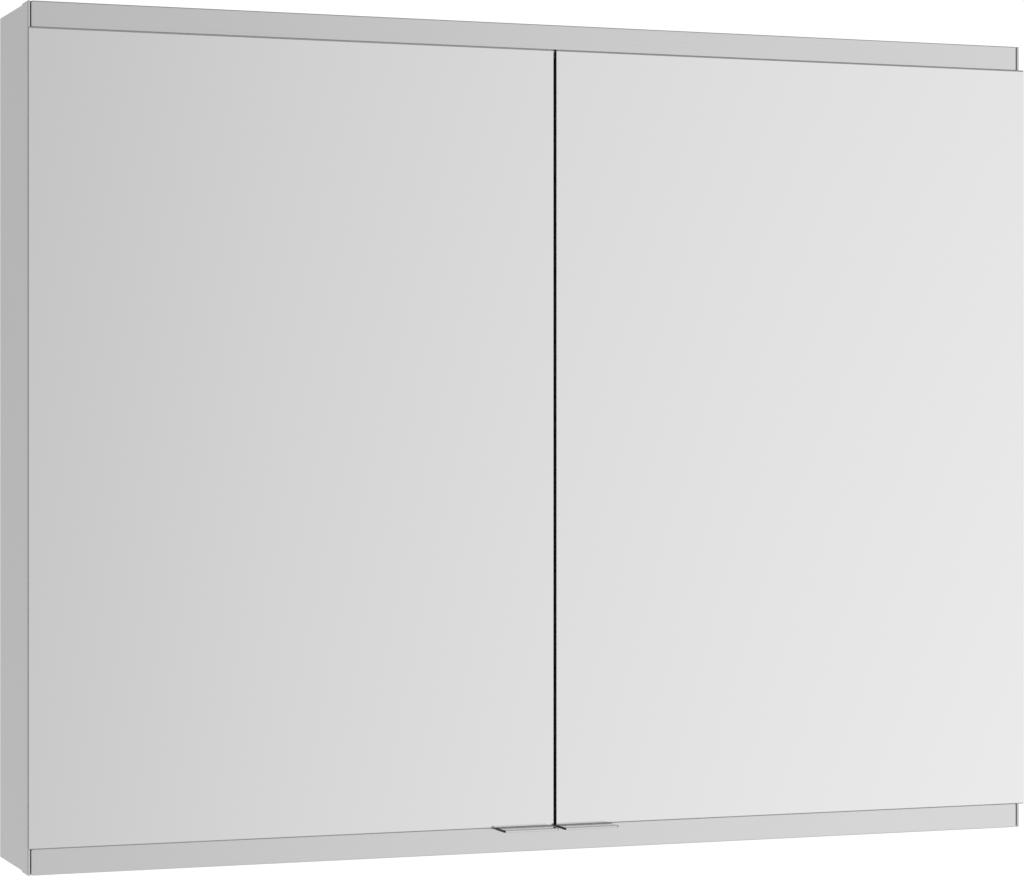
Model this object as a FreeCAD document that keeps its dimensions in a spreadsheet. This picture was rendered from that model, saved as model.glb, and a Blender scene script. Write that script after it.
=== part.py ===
"""Two-door mirror wall cabinet, 900 x 700 x 130 mm, as a parametric assembly.

Frame: +X to the right, +Y towards the wall, +Z up, millimetres. The origin is the centre of the
wall face, between the four wall-screw holes. Left and right are those of a person facing the doors.
Right-hand pieces are mirror copies of the left-hand ones, about the plane x = 0.
"""
import FreeCAD, Part
import os
import re
import Sketcher
from FreeCAD import Vector

SIZES = [
    ("body_width", 898.5, "outside of the front trims"),
    ("body_height", 700, "side panels, trims and fascias"),
    ("body_depth", 122, "wall to the front of the fascias"),
    ("panel", 12, "thickness of side, top and bottom panels and of the divider"),
    ("side_step", 2.2, "trim leg thickness, the step between trim and side panel"),
    ("trim_depth", 23.2, "how far the trim laps back over the side panel"),
    ("trim_web", 2, "trim web that covers the front edge of the side panel"),
    ("trim_recess", 14, "front of the trim leg to its web"),
    ("rail_height", 32, "front rails, top and bottom"),
    ("rail_depth", 14, "front rails"),
    ("rail_wall", 2, "wall of the front rail channel"),
    ("cap_thick", 3, "plugs in the ends of the channel behind each trim leg"),
    ("fascia_height", 21.5, "aluminium strips above and below the doors"),
    ("fascia_thick", 4, "aluminium strips"),
    ("fascia_end_gap", 0.5, "between a strip's end and the trim leg"),
    ("fascia_corner", 2, "rounded corners of a strip"),
    ("fascia_edge", 0.6, "rounded front edges of a strip"),
    ("back_thick", 4, "back panel"),
    ("hanger_height", 60, "hanging rails behind the back panel"),
    ("hanger_thick", 5, "hanging rails"),
    ("hanger_drop", 30, "top of the body to the top of the upper hanging rail"),
    ("wall_hole", 3.5, "radius of the wall-screw holes"),
    ("wall_pitch_x", 760, "wall screws, across"),
    ("wall_pitch_z", 580, "wall screws, up"),
    ("doors_width", 900, "both doors with the gap between them"),
    ("door_height", 656.4, "each door"),
    ("door_seam", 2.3, "gap between the doors"),
    ("door_back_gap", 2, "front of the fascias to the back of the doors"),
    ("pane", 2.5, "one mirror pane, two to a door"),
    ("pane_bevel", 0.5, "polished edge of a pane"),
    ("handle_length", 49, "along the door's bottom edge"),
    ("handle_reach", 16.5, "in front of the door"),
    ("handle_thick", 2.2, "lip plate of the handle"),
    ("handle_leg", 1.4, "thickness of the leg bonded to the door's back"),
    ("handle_rise", 22, "height of the bonded leg"),
    ("handle_drop", 0.15, "door's bottom edge to the handle"),
    ("handle_inset", 1.5, "door's inner edge to the handle"),
    ("handle_corner", 1.7, "rounded front corners of the lip plate"),
    ("shelf_thick", 5, "glass shelf"),
    ("shelf_gap", 1, "glass shelf to the panels beside it"),
    ("shelf_depth", 96, "glass shelf, front to back"),
    ("shelf_back_gap", 3, "glass shelf to the back panel"),
    ("shelf_level", 112, "support pins above or below the middle"),
    ("shelf_pitch", 32, "step between the rows of pin holes"),
    ("pin_radius", 2.45, "shelf support pin"),
    ("pin_hole", 2.5, "hole for a shelf support pin"),
    ("pin_depth", 5, "pin inside the panel"),
    ("pin_reach", 9, "pin inside the compartment"),
    ("collar_radius", 4, "collar of a support pin"),
    ("collar_thick", 0.8, "collar of a support pin"),
    ("pin_front", 84, "front row of pin holes, from the wall"),
    ("pin_rear", 28, "rear row of pin holes, from the wall"),
    ("bracket_leg", 24, "corner bracket"),
    ("bracket_thick", 2, "corner bracket"),
    ("bracket_width", 20, "corner bracket"),
    ("bracket_back", 45, "wall to the middle of a corner bracket"),
    ("screw_radius", 1.9, "bracket and hinge screws"),
    ("screw_hole", 2.1, "clearance hole for a screw"),
    ("screw_head", 2.7, "radius of a screw head"),
    ("head_height", 1.4, "screw head"),
    ("screw_length", 9, "screw below its head"),
    ("hinge_level", 253, "middle of the cabinet up or down to a hinge"),
    ("pivot_across", 6, "door's outer edge to the hinge pin"),
    ("pivot_back", 11, "back of the door to the hinge pin"),
    ("hinge_pin", 1.2, "radius of the hinge pin"),
    ("hinge_bore", 1.25, "bore of the knuckles"),
    ("pin_head", 2.1, "head of the hinge pin"),
    ("knuckle", 2.4, "outer radius of the knuckles"),
    ("knuckle_half", 8, "half the height of the moving knuckle"),
    ("knuckle_gap", 0.4, "between moving and fixed knuckles"),
    ("knuckle_fixed", 9.6, "height of one fixed knuckle"),
    ("neck_thick", 2, "strip that the gooseneck is bent from"),
    ("neck_reach", 15, "hinge pin to the far side of the gooseneck"),
    ("foot_length", 32, "foot bonded to the back of the door"),
    ("foot_thick", 1.4, "foot bonded to the back of the door"),
    ("flange_half", 24, "half the height of the hinge base"),
    ("flange_width", 11, "hinge base"),
    ("flange_thick", 1.6, "hinge base"),
    ("flange_edge", 0.5, "hinge base to the trim leg"),
    ("flange_screw", 21, "hinge middle up or down to a screw"),
    ("bumper_radius", 4, "door bumper"),
    ("bumper_length", 5.6, "door bumper"),
    ("bumper_offset", 75, "middle of the cabinet to a bumper"),
    ("bumper_level", 324.2, "middle of the cabinet up or down to a bumper"),
]
ALIASES = {alias for alias, value, note in SIZES}
NUMBER = {alias: value for alias, value, note in SIZES}

doc = FreeCAD.newDocument("wall_cabinet")
sheet = doc.addObject("Spreadsheet::Sheet", "Sizes")
for row, (alias, value, note) in enumerate(SIZES, start=1):
    sheet.set(f"A{row}", note)
    sheet.set(f"B{row}", str(value))
    sheet.setAlias(f"B{row}", alias)
doc.recompute()

# Derived places, as sheet expressions.
SIDE_OUTER = "(body_width / 2 - side_step)"
SIDE_INNER = "(body_width / 2 - side_step - panel)"
TOP = "(body_height / 2)"
TOP_INNER = "(body_height / 2 - panel)"
RAIL_INNER = "(body_height / 2 - rail_height)"
FASCIA_BACK = "(body_depth - fascia_thick)"
RAIL_BACK = "(body_depth - fascia_thick - rail_depth)"
WEB_FRONT = "(body_depth - trim_recess)"
WEB_BACK = "(body_depth - trim_recess - trim_web)"
DOOR_BACK = "(body_depth + door_back_gap)"
DOOR_INNER = "(door_seam / 2)"
BACK_FRONT = "(hanger_thick + back_thick)"

LEFT_RIGHT = Vector(1, 0, 0)
UP_DOWN = Vector(0, 0, 1)
kept = []


def bound(text):
    """The expression with every size word pointed at the sheet."""
    return re.sub(r"[a-z_]+", lambda m: f"Sizes.{m.group()}" if m.group() in ALIASES else m.group(), text)


def bind(item, **properties):
    """Bind properties of an object to expressions; a double underscore stands for a dot."""
    for name, text in properties.items():
        item.setExpression(name.replace("__", "."), bound(text))
    return item


def keep(item, label):
    """Give a finished piece its node name and list it for export."""
    item.Label = label
    kept.append(item)
    return item


def new_body(name, corner):
    """A body whose local origin is its own low corner."""
    body = doc.addObject("PartDesign::Body", name)
    return bind(body, Placement__Base__x=corner[0], Placement__Base__y=corner[1], Placement__Base__z=corner[2])


def new_sketch(body, plane, name, lift=None):
    sketch = body.newObject("Sketcher::SketchObject", name)
    support = next(feature for feature in body.Origin.OriginFeatures if feature.Role == plane)
    sketch.AttachmentSupport = [(support, "")]
    sketch.MapMode = "FlatFace"
    if lift:
        bind(sketch, AttachmentOffset__Base__z=lift)
    return sketch


def outline(sketch, corners):
    """A closed outline through corners, each a pair of expressions; "0" puts a corner on an axis."""
    count = len(corners)
    rough = [Vector(10 * (index + 1), 7 * (index % 3) + 5, 0) for index in range(count)]
    for index in range(count):
        sketch.addGeometry(Part.LineSegment(rough[index], rough[(index + 1) % count]), False)
    for index in range(count):
        sketch.addConstraint(Sketcher.Constraint("Coincident", index, 2, (index + 1) % count, 1))
    for index, pair in enumerate(corners):
        for text, kind, axis in zip(pair, ("DistanceX", "DistanceY"), (-2, -1)):
            if text == "0":
                sketch.addConstraint(Sketcher.Constraint("PointOnObject", index, 1, axis))
                continue
            name = f"{kind[-1].lower()}{index}"
            place = sketch.addConstraint(Sketcher.Constraint(kind, -1, 1, index, 1, 10.0))
            sketch.renameConstraint(place, name)
            sketch.setExpression(f"Constraints.{name}", bound(text))


def rectangle(sketch, width, height):
    outline(sketch, [("0", "0"), (width, "0"), (width, height), ("0", height)])


def circles(sketch, centres, radius):
    """Circles at pairs of expressions, all of one sheet-driven radius."""
    for index, (across, up) in enumerate(centres):
        sketch.addGeometry(Part.Circle(Vector(5, 5, 0), UP_DOWN, 2), False)
        for kind, text in (("DistanceX", across), ("DistanceY", up)):
            place = sketch.addConstraint(Sketcher.Constraint(kind, -1, 1, index, 3, 5.0))
            name = f"{kind[-1].lower()}{index}"
            sketch.renameConstraint(place, name)
            sketch.setExpression(f"Constraints.{name}", bound(text))
        place = sketch.addConstraint(Sketcher.Constraint("Radius", index, 2.0))
        sketch.renameConstraint(place, f"radius{index}")
        sketch.setExpression(f"Constraints.radius{index}", bound(radius))


def pad(body, sketch, length):
    feature = body.newObject("PartDesign::Pad", f"{body.Name}_pad")
    feature.Profile = sketch
    return bind(feature, Length=length)


def drill(body, sketch, depth=None, reverse=False):
    """Pocket a sketch, right through or to a depth, and make sure that it removed material."""
    doc.recompute()
    before = body.Shape.Volume
    pocket = body.newObject("PartDesign::Pocket", f"{sketch.Name}_pocket")
    pocket.Profile = sketch
    pocket.Reversed = reverse
    if depth:
        bind(pocket, Length=depth)
    else:
        pocket.Type = "ThroughAll"
    doc.recompute()
    if body.Shape.Volume > before - 1:
        raise RuntimeError(f"{pocket.Name} cut nothing")
    return pocket


def edge_names(shape, wanted):
    return [f"Edge{index}" for index, edge in enumerate(shape.Edges, start=1) if wanted(edge)]


def dress(body, kind, wanted, size):
    """Fillet or Chamfer the edges of the body's tip that a test picks."""
    doc.recompute()
    tip = body.Tip
    feature = body.newObject(f"PartDesign::{kind}", f"{body.Name}_{kind.lower()}_{len(body.Group)}")
    feature.Base = (tip, edge_names(tip.Shape, wanted))
    return bind(feature, **{"Radius" if kind == "Fillet" else "Size": size})


def along(edge, axis):
    """True where a straight edge runs along an axis."""
    direction = edge.Vertexes[-1].Point - edge.Vertexes[0].Point
    return direction.Length > 0 and abs(direction.normalize().dot(axis)) > 0.999


def block(name, low, high):
    """A plain rectangular panel between two corners given as expressions."""
    body = new_body(name, low)
    sketch = new_sketch(body, "XY_Plane", f"{name}_outline")
    rectangle(sketch, f"{high[0]} - ({low[0]})", f"{high[1]} - ({low[1]})")
    pad(body, sketch, f"{high[2]} - ({low[2]})")
    return body


def mirrored(source, name, normal):
    copy = doc.addObject("Part::Mirroring", name)
    copy.Source = source
    copy.Normal = normal
    return copy


def group(name, members):
    compound = doc.addObject("Part::Compound", name)
    compound.Links = members
    return compound


def both_sides(source, stem):
    """Keep a left-hand piece and its mirror image."""
    keep(source, f"{stem}_left")
    keep(mirrored(source, f"{stem}_right", LEFT_RIGHT), f"{stem}_right")


def top_and_bottom(source, stem, endings=("top", "bottom")):
    """Keep an upper piece and its mirror image."""
    keep(source, f"{endings[0]}_{stem}")
    keep(mirrored(source, f"{endings[1]}_{stem}", UP_DOWN), f"{endings[1]}_{stem}")


def peg(name, radius, length, centre, axis):
    """A cylinder from a point along an axis; the point is three expressions."""
    cylinder = doc.addObject("Part::Cylinder", name)
    cylinder.Placement = FreeCAD.Placement(Vector(), FreeCAD.Rotation(UP_DOWN, axis))
    bind(cylinder, Radius=radius, Height=length)
    return bind(cylinder, Placement__Base__x=centre[0], Placement__Base__y=centre[1], Placement__Base__z=centre[2])


def cuboid(name, low, high):
    """A box between two corners given as expressions."""
    box = doc.addObject("Part::Box", name)
    bind(box, Length=f"{high[0]} - ({low[0]})", Width=f"{high[1]} - ({low[1]})", Height=f"{high[2]} - ({low[2]})")
    return bind(box, Placement__Base__x=low[0], Placement__Base__y=low[1], Placement__Base__z=low[2])


def fused(name, solids, cutters=()):
    """Solids joined into one, less any cutters."""
    union = doc.addObject("Part::MultiFuse", f"{name}_union")
    union.Shapes = solids
    if not cutters:
        return union
    cut = doc.addObject("Part::Cut", name)
    cut.Base = union
    cut.Tool = group(f"{name}_cutters", list(cutters))
    return cut


def screw(seat, axis):
    """A pan-head screw whose head sits on seat; axis points from the seat into the work."""
    shank = peg("screw_shank", "screw_radius", "screw_length", seat, axis)
    head = peg("screw_head_disc", "screw_head", "head_height", seat, axis.negative())
    return fused("screw_solid", [shank, head])


def shelf_hole_places(heights_from):
    """Local (y, z) of the pin holes: three heights for each shelf, a front and a rear row."""
    places = []
    for depth in ("pin_front", "pin_rear"):
        for side in (-1, 1):
            for step in (-1, 0, 1):
                across = f"{heights_from[0]} - {depth}"
                up = f"{heights_from[1]} + {side} * shelf_level + {step} * shelf_pitch"
                places.append((across, up))
    return places


# Side panels: flat aluminium-faced boards with blind holes for the shelf pins on the inside.
side = block("side_panel_left", (f"-{SIDE_OUTER}", f"-{WEB_BACK}", f"-{TOP}"), (f"-{SIDE_INNER}", "0", TOP))
side_holes = new_sketch(side, "YZ_Plane", "side_pin_holes", lift="panel")
circles(side_holes, shelf_hole_places((WEB_BACK, TOP)), "pin_hole")
drill(side, side_holes, depth="pin_depth + 1")
both_sides(side, "side_panel")

# Front trims: extruded profile whose leg laps over the side panel and whose web covers its edge.
trim = new_body("front_trim_left", ("-body_width / 2", "-body_depth", f"-{TOP}"))
trim_outline = new_sketch(trim, "XY_Plane", "trim_outline")
WEB_END = "side_step + panel"
outline(trim_outline, [
    ("0", "0"), ("side_step", "0"), ("side_step", "trim_recess"), (WEB_END, "trim_recess"),
    (WEB_END, "trim_recess + trim_web"), ("side_step", "trim_recess + trim_web"),
    ("side_step", "trim_depth"), ("0", "trim_depth")])
pad(trim, trim_outline, "body_height")
both_sides(trim, "front_trim")

# Top and bottom panels between the side panels.
cover = block("top_panel", (f"-{SIDE_INNER}", f"-{RAIL_BACK}", TOP_INNER), (SIDE_INNER, "0", TOP))
top_and_bottom(cover, "panel")

# Front rails: channels open to the back that stiffen the front and stop the doors.
rail = new_body("top_front_rail", (f"-{SIDE_INNER}", f"-{FASCIA_BACK}", RAIL_INNER))
rail_outline = new_sketch(rail, "YZ_Plane", "rail_outline")
outline(rail_outline, [
    ("0", "0"), ("rail_depth", "0"), ("rail_depth", "rail_wall"), ("rail_wall", "rail_wall"),
    ("rail_wall", "rail_height - rail_wall"), ("rail_depth", "rail_height - rail_wall"),
    ("rail_depth", "rail_height"), ("0", "rail_height")])
pad(rail, rail_outline, f"2 * {SIDE_INNER}")
top_and_bottom(rail, "front_rail")

# Fascias: the aluminium strips seen above and below the doors.
FASCIA_HALF = "(body_width / 2 - side_step - fascia_end_gap)"
fascia = new_body("top_fascia", (f"-{FASCIA_HALF}", f"-{FASCIA_BACK}", f"{TOP} - fascia_height"))
fascia_outline = new_sketch(fascia, "XZ_Plane", "fascia_outline")
rectangle(fascia_outline, f"2 * {FASCIA_HALF}", "fascia_height")
pad(fascia, fascia_outline, "fascia_thick")
dress(fascia, "Fillet", lambda edge: along(edge, Vector(0, 1, 0)), "fascia_corner")
front_of_fascia = -NUMBER["fascia_thick"]
dress(fascia, "Fillet", lambda edge: abs(edge.BoundBox.YMax - front_of_fascia) < 1e-6, "fascia_edge")
top_and_bottom(fascia, "fascia")

# End caps: moulded plugs pressed into the channel behind each trim leg, flush above and below.
cap = block("end_cap", ("-(body_width / 2 - side_step)", f"-{FASCIA_BACK}", f"{TOP} - cap_thick"),
            (f"-{SIDE_INNER}", f"-{WEB_FRONT}", TOP))
cap_pair = group("end_cap_pair", [cap, mirrored(cap, "end_cap_right", LEFT_RIGHT)])
keep(group("end_caps", [cap_pair, mirrored(cap_pair, "end_cap_lower", UP_DOWN)]), "end_caps")

# Centre divider between the two compartments, notched round the front rails.
divider = new_body("centre_divider", ("-panel / 2", f"-({FASCIA_BACK} - rail_wall)", f"-{TOP_INNER}"))
divider_outline = new_sketch(divider, "YZ_Plane", "divider_outline")
NOTCH_Y = "rail_depth - rail_wall"
NOTCH_Z = "rail_height - panel"
DIVIDER_DEPTH = f"{FASCIA_BACK} - rail_wall - {BACK_FRONT}"
DIVIDER_HEIGHT = f"2 * {TOP_INNER}"
outline(divider_outline, [
    ("0", NOTCH_Z), (NOTCH_Y, NOTCH_Z), (NOTCH_Y, "0"), (DIVIDER_DEPTH, "0"),
    (DIVIDER_DEPTH, DIVIDER_HEIGHT), (NOTCH_Y, DIVIDER_HEIGHT),
    (NOTCH_Y, f"{DIVIDER_HEIGHT} - ({NOTCH_Z})"), ("0", f"{DIVIDER_HEIGHT} - ({NOTCH_Z})")])
pad(divider, divider_outline, "panel")
divider_holes = new_sketch(divider, "YZ_Plane", "divider_pin_holes")
circles(divider_holes, shelf_hole_places((f"({FASCIA_BACK} - rail_wall)", TOP_INNER)), "pin_hole")
drill(divider, divider_holes, reverse=True)
keep(divider, "centre_divider")


def wall_holes(body, name, left, bottom, rows):
    """Drill the wall-screw holes; left and bottom say where the body's corner is."""
    sketch = new_sketch(body, "XZ_Plane", name)
    centres = [(f"{left} + {side} * wall_pitch_x / 2", f"{bottom} + {row} * wall_pitch_z / 2")
               for side in (-1, 1) for row in rows]
    circles(sketch, centres, "wall_hole")
    drill(body, sketch)


# Back panel, and behind it the two hanging rails that the wall screws pull against the wall.
back = block("back_panel", (f"-{SIDE_INNER}", f"-{BACK_FRONT}", f"-{TOP_INNER}"),
             (SIDE_INNER, "-hanger_thick", TOP_INNER))
wall_holes(back, "back_wall_holes", SIDE_INNER, TOP_INNER, rows=(-1, 1))
keep(back, "back_panel")
HANGER_LOW = f"({TOP} - hanger_drop - hanger_height)"
hanger = block("upper_hanging_rail", (f"-{SIDE_INNER}", "-hanger_thick", HANGER_LOW),
               (SIDE_INNER, "0", f"{TOP} - hanger_drop"))
wall_holes(hanger, "hanger_wall_holes", SIDE_INNER, f"-{HANGER_LOW}", rows=(1,))
top_and_bottom(hanger, "hanging_rail", endings=("upper", "lower"))

# Corner brackets that hold the side panels to the top and bottom panels.
bracket = new_body("corner_bracket", (f"-{SIDE_INNER}", "-bracket_back - bracket_width / 2",
                                      f"{TOP_INNER} - bracket_leg"))
bracket_outline = new_sketch(bracket, "XZ_Plane", "bracket_outline")
BRACKET_FLAT = "bracket_leg - bracket_thick"
outline(bracket_outline, [
    ("0", "0"), ("bracket_thick", "0"), ("bracket_thick", BRACKET_FLAT),
    ("bracket_leg", BRACKET_FLAT), ("bracket_leg", "bracket_leg"), ("0", "bracket_leg")])
bracket_pad = pad(bracket, bracket_outline, "bracket_width")
bracket_pad.Reversed = True
bracket_right = mirrored(bracket, "corner_bracket_right", LEFT_RIGHT)
bracket_pair = group("corner_bracket_pair", [bracket, bracket_right])
bracket_lower = mirrored(bracket_pair, "corner_bracket_lower", UP_DOWN)
keep(group("corner_brackets", [bracket_pair, bracket_lower]), "corner_brackets")

bracket_seats = [
    ((f"-{SIDE_INNER} + bracket_thick", "-bracket_back", f"{TOP_INNER} - bracket_leg / 2 - bracket_thick"),
     Vector(-1, 0, 0)),
    ((f"-{SIDE_INNER} + bracket_leg / 2 + bracket_thick", "-bracket_back", f"{TOP_INNER} - bracket_thick"),
     Vector(0, 0, 1))]
bracket_screws = group("bracket_screws_corner", [screw(seat, axis) for seat, axis in bracket_seats])
bracket_screws_row = group("bracket_screws_row", [
    bracket_screws, mirrored(bracket_screws, "bracket_screws_corner_right", LEFT_RIGHT)])
keep(group("bracket_screws", [
    bracket_screws_row, mirrored(bracket_screws_row, "bracket_screws_row_lower", UP_DOWN)]), "bracket_screws")

# Glass shelves, each resting on four pins.
shelf = block("shelf_left_upper",
              (f"-({SIDE_INNER} - shelf_gap)", f"-({BACK_FRONT} + shelf_back_gap + shelf_depth)",
               "shelf_level + pin_radius"),
              ("-(panel / 2 + shelf_gap)", f"-({BACK_FRONT} + shelf_back_gap)",
               "shelf_level + pin_radius + shelf_thick"))
dress(shelf, "Fillet", lambda edge: along(edge, Vector(1, 0, 0)) and edge.BoundBox.YMin < 1, "pane_bevel")
both_sides(shelf, "upper_shelf")
lower_shelf = doc.addObject("Part::Compound", "lower_shelf_left")
lower_shelf.Links = [shelf]
bind(lower_shelf, Placement__Base__z="-2 * shelf_level")
both_sides(lower_shelf, "lower_shelf")


def support_pin(name, face, outward, depth, height):
    """A pin with a collar; face is the panel face that it stands out of, outward is -1 or 1 along X."""
    axis = Vector(outward, 0, 0)
    root = (f"{face} - {outward} * pin_depth", f"-{depth}", height)
    stem = peg(f"{name}_stem", "pin_radius", "pin_depth + pin_reach", root, axis)
    collar = peg(f"{name}_collar", "collar_radius", "collar_thick", (face, f"-{depth}", height), axis)
    return fused(name, [stem, collar])


pins = []
for row, height in enumerate(("shelf_level", "-shelf_level")):
    for column, depth in enumerate(("pin_front", "pin_rear")):
        pins.append(support_pin(f"side_pin_{row}{column}", f"-{SIDE_INNER}", 1, depth, height))
        pins.append(support_pin(f"divider_pin_{row}{column}", "-panel / 2", -1, depth, height))
pins_left = group("shelf_pins_left", pins)
both_sides(pins_left, "shelf_pins")

# Doors: two mirror panes bonded back to back.
DOOR_HALF = "(doors_width / 2)"


def door_pane(name, back_face):
    """A pane between its back face and its front face, with polished edges on the outer side."""
    low = (f"-{DOOR_HALF}", f"-({back_face} + pane)", "-door_height / 2")
    high = (f"-{DOOR_INNER}", f"-{back_face}", "door_height / 2")
    return block(name, low, high)


front_pane = door_pane("front_mirror_left", f"({DOOR_BACK} + pane)")
dress(front_pane, "Chamfer", lambda edge: edge.BoundBox.YMax < 1e-6, "pane_bevel")
both_sides(front_pane, "front_mirror")
rear_pane = door_pane("rear_mirror_left", DOOR_BACK)
dress(rear_pane, "Chamfer", lambda edge: edge.BoundBox.YMin > NUMBER["pane"] - 1e-6, "pane_bevel")
both_sides(rear_pane, "rear_mirror")

# Handles: bent aluminium plates, bonded to the back of the door, with a lip below its edge.
LIP_DEPTH = "(handle_reach + 2 * pane + handle_leg)"
handle = new_body("handle_left", (f"-({DOOR_INNER} + handle_inset + handle_length)",
                                  f"-({DOOR_BACK} + 2 * pane + handle_reach)",
                                  "-(door_height / 2 + handle_drop + handle_thick)"))
handle_outline = new_sketch(handle, "YZ_Plane", "handle_outline")
HANDLE_TOP = "(handle_thick + handle_rise)"
outline(handle_outline, [
    ("0", "0"), (LIP_DEPTH, "0"), (LIP_DEPTH, HANDLE_TOP), (f"{LIP_DEPTH} - handle_leg", HANDLE_TOP),
    (f"{LIP_DEPTH} - handle_leg", "handle_thick"), ("0", "handle_thick")])
pad(handle, handle_outline, "handle_length")
dress(handle, "Fillet", lambda edge: along(edge, UP_DOWN) and edge.BoundBox.YMax < 1e-6, "handle_corner")
both_sides(handle, "handle")

# Hinges: a base screwed to the trim web in the channel behind the door's edge, a pin, and a
# gooseneck leaf that turns on the pin, steps round the trim leg and is bonded to the door's back.
PIVOT_X = f"(-({DOOR_HALF} - pivot_across))"
PIVOT_Y = f"(-({DOOR_BACK} - pivot_back))"
FLANGE_LEFT = "(-(body_width / 2 - side_step - flange_edge))"
FLANGE_FRONT = f"(-({WEB_FRONT} + flange_thick))"
SCREW_X = f"({FLANGE_LEFT} + flange_width - screw_head - flange_edge)"


def hinge_base(level):
    """The fixed leaf of one hinge, with its two knuckles."""
    solids = [cuboid("hinge_flange", (FLANGE_LEFT, FLANGE_FRONT, f"{level} - flange_half"),
                     (f"{FLANGE_LEFT} + flange_width", f"-{WEB_FRONT}", f"{level} + flange_half"))]
    for low in ("knuckle_half + knuckle_gap", "-(knuckle_half + knuckle_gap + knuckle_fixed)"):
        start = f"{level} + {low}"
        solids.append(peg("fixed_knuckle", "knuckle", "knuckle_fixed", (PIVOT_X, PIVOT_Y, start), UP_DOWN))
        solids.append(cuboid("knuckle_arm", (f"{PIVOT_X} - 0.8 * knuckle", PIVOT_Y, start),
                             (f"{PIVOT_X} + 0.8 * knuckle", FLANGE_FRONT, f"{start} + knuckle_fixed")))
    cutters = [peg("base_bore", "hinge_bore", "2 * flange_half", (PIVOT_X, PIVOT_Y, f"{level} - flange_half"),
                   UP_DOWN)]
    for side in (-1, 1):
        place = (SCREW_X, FLANGE_FRONT, f"{level} + {side} * flange_screw")
        cutters.append(peg("flange_hole", "screw_hole", "flange_thick", place, Vector(0, 1, 0)))
    return fused("hinge_base", solids, cutters)


def gooseneck(level):
    """The moving leaf of one hinge: knuckle, neck, riser and bonded foot."""
    low = f"{level} - knuckle_half"
    high = f"{level} + knuckle_half"
    far = f"{PIVOT_X} + neck_reach"
    back = f"{PIVOT_Y} + neck_thick"
    knuckle = peg("moving_knuckle", "knuckle", "2 * knuckle_half", (PIVOT_X, PIVOT_Y, low), UP_DOWN)
    neck = cuboid("neck", (PIVOT_X, PIVOT_Y, low), (far, back, high))
    riser = cuboid("riser", (f"{far} - neck_thick", f"-{DOOR_BACK}", low), (far, back, high))
    foot = cuboid("foot", (f"{far} - neck_thick", f"-{DOOR_BACK}", f"{low} - knuckle_half"),
                  (f"{far} + foot_length", f"-{DOOR_BACK} + foot_thick", f"{high} + knuckle_half"))
    bore = peg("neck_bore", "hinge_bore", "2 * knuckle_half", (PIVOT_X, PIVOT_Y, low), UP_DOWN)
    return fused("gooseneck", [knuckle, neck, riser, foot], [bore])


def hinge_pin(level):
    """The pin through all three knuckles, with a head that rests on the top one."""
    top = f"{level} + knuckle_half + knuckle_gap + knuckle_fixed"
    length = "2 * (knuckle_half + knuckle_gap + knuckle_fixed)"
    shank = peg("pin_shank", "hinge_pin", length, (PIVOT_X, PIVOT_Y, f"{top} - {length}"), UP_DOWN)
    head = peg("pin_head_disc", "pin_head", "head_height", (PIVOT_X, PIVOT_Y, top), UP_DOWN)
    return fused("hinge_pin_solid", [shank, head])


HINGE_LEVELS = ("hinge_level", "-hinge_level")
bases_left = group("hinge_bases_left", [hinge_base(level) for level in HINGE_LEVELS])
keep(group("hinge_bases", [bases_left, mirrored(bases_left, "hinge_bases_right", LEFT_RIGHT)]), "hinge_bases")
pins_of_left = group("hinge_pins_left", [hinge_pin(level) for level in HINGE_LEVELS])
keep(group("hinge_pins", [pins_of_left, mirrored(pins_of_left, "hinge_pins_right", LEFT_RIGHT)]), "hinge_pins")
both_sides(group("goosenecks_left", [gooseneck(level) for level in HINGE_LEVELS]), "hinge_goosenecks")
base_screws = [screw((SCREW_X, FLANGE_FRONT, f"{level} + {side} * flange_screw"), Vector(0, 1, 0))
               for level in HINGE_LEVELS for side in (-1, 1)]
screws_left = group("hinge_screws_left", base_screws)
keep(group("hinge_screws", [screws_left, mirrored(screws_left, "hinge_screws_right", LEFT_RIGHT)]),
     "hinge_screws")

# Door bumpers on the front rails.
bumpers = [peg(f"bumper_{level}", "bumper_radius", "bumper_length",
               ("-bumper_offset", f"-{FASCIA_BACK}", f"{level} * bumper_level"), Vector(0, -1, 0))
           for level in (1, -1)]
bumpers_left = group("bumpers_left_pair", bumpers)
bumpers_right = mirrored(bumpers_left, "bumpers_right_pair", LEFT_RIGHT)
keep(group("door_bumpers", [bumpers_left, bumpers_right]), "door_bumpers")

doc.recompute()
for item in doc.Objects:
    if "Invalid" in item.State or "Error" in item.State:
        raise RuntimeError(f"{item.Name} failed: {item.State}")
for piece in kept:
    if piece.Shape.isNull() or not piece.Shape.isValid():
        raise RuntimeError(f"{piece.Label} has no valid shape")

os.makedirs("parts", exist_ok=True)
for piece in kept:
    piece.Shape.exportStep(f"parts/{piece.Label}.step")
    print(piece.Label, len(piece.Shape.Solids), round(piece.Shape.Volume))
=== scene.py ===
"""A two-door mirror wall cabinet: what is seen and touched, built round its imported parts.

The file follows the cabinet as it is put together: carcass, wall fixings, front frame, shelves,
hinges, doors and handles, and last the studio that it is shown in. Lengths are in metres, or in
millimetres where a name ends in MM.
"""
import math

import bmesh
import bpy
from mathutils import Matrix, Vector


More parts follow.
